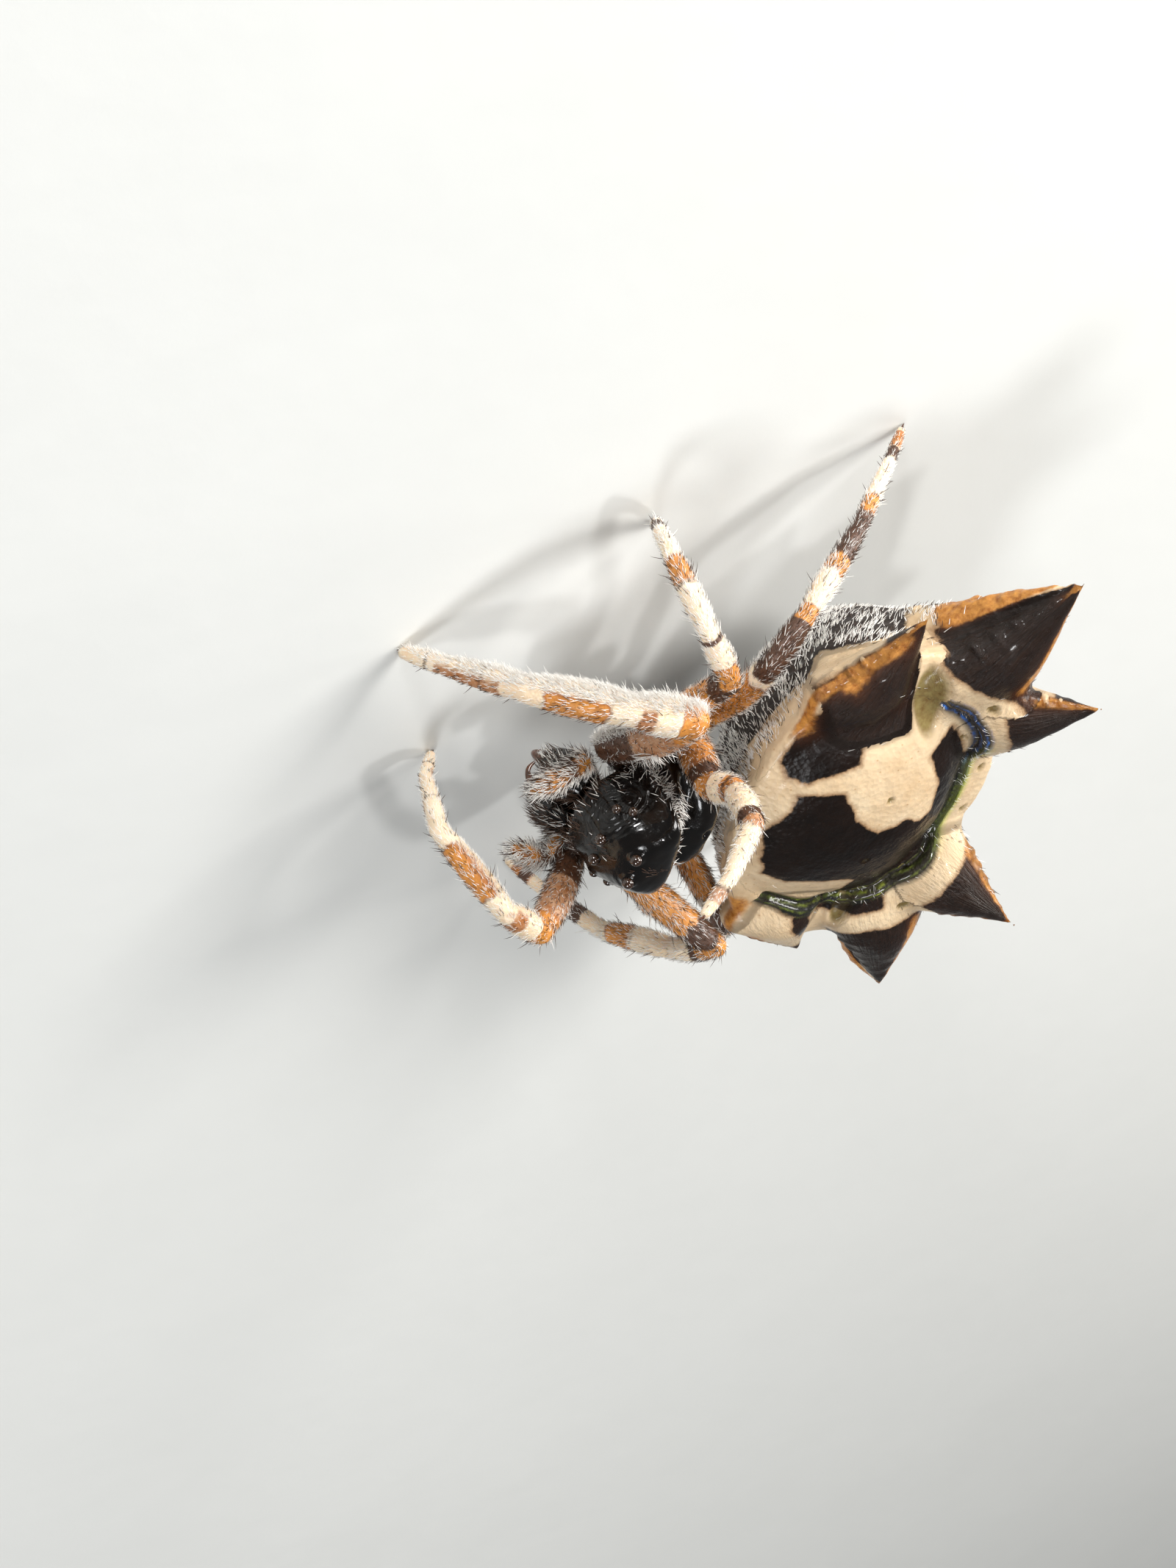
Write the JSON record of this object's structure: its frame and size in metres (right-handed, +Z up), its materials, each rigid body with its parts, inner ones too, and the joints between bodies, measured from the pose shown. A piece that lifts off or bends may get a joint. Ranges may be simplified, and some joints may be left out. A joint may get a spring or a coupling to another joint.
{
  "type": "spiny-backed orb weaver spider",
  "caption": "Life-size orb weaver spider: wide hard-shelled abdomen edged with conical spines, domed black head shield, banded bristly legs standing on the floor, a leg tucked up by its side.",
  "frame": {"origin": "middle of the bounding box's base, on the floor under the body", "axes": "+X towards the spider's head, +Y to its left, +Z up"},
  "size_m": [0.0112, 0.0102, 0.0062],
  "materials": {
    "shell": "wet-looking polished black shell with fine wrinkles in its grooves",
    "skin": "satin, cream legs with orange and dark brown rings, brown underneath",
    "eye": "mirror-smooth black beads",
    "abdomen": "waxy cream shell with soft-edged black patches, ribbed black spines with an orange edge, black belly",
    "bristle": "fine white and dark bristles"
  },
  "bodies": {
    "root": {"abdomen_belly": "abdomen", "abdomen_shield": "abdomen", "carapace": "shell", "chelicera_left": "shell", "chelicera_right": "shell", "eye_left_front_middle": "eye", "eye_left_front_side": "eye", "eye_left_rear_middle": "eye", "eye_left_rear_side": "eye", "eye_right_front_middle": "eye", "eye_right_front_side": "eye", "eye_right_rear_middle": "eye", "eye_right_rear_side": "eye", "fang_left": "shell", "fang_right": "shell", "leg_left_1_femur": "skin", "leg_left_1_foot": "skin", "leg_left_1_tibia": "skin", "leg_left_2_femur": "skin", "leg_left_2_foot": "skin", "leg_left_2_tibia": "skin", "leg_left_3_femur": "skin", "leg_left_3_foot": "skin", "leg_left_3_tibia": "skin", "leg_left_4_femur": "skin", "leg_left_4_foot": "skin", "leg_left_4_tibia": "skin", "leg_right_1_femur": "skin", "leg_right_1_foot": "skin", "leg_right_1_tibia": "skin", "leg_right_2_femur": "skin", "leg_right_2_foot": "skin", "leg_right_2_tibia": "skin", "leg_right_3_femur": "skin", "leg_right_3_foot": "skin", "leg_right_3_tibia": "skin", "leg_right_4_femur": "skin", "leg_right_4_foot": "skin", "leg_right_4_tibia": "skin", "mouthparts": "skin", "palp_left": "skin", "palp_right": "skin", "pedicel": "skin", "spine_left_back": "abdomen", "spine_left_front": "abdomen", "spine_left_middle": "abdomen", "spine_right_back": "abdomen", "spine_right_front": "abdomen", "spine_right_middle": "abdomen", "spinnerets": "abdomen", "sternum": "skin"}
  },
  "joints": []
}
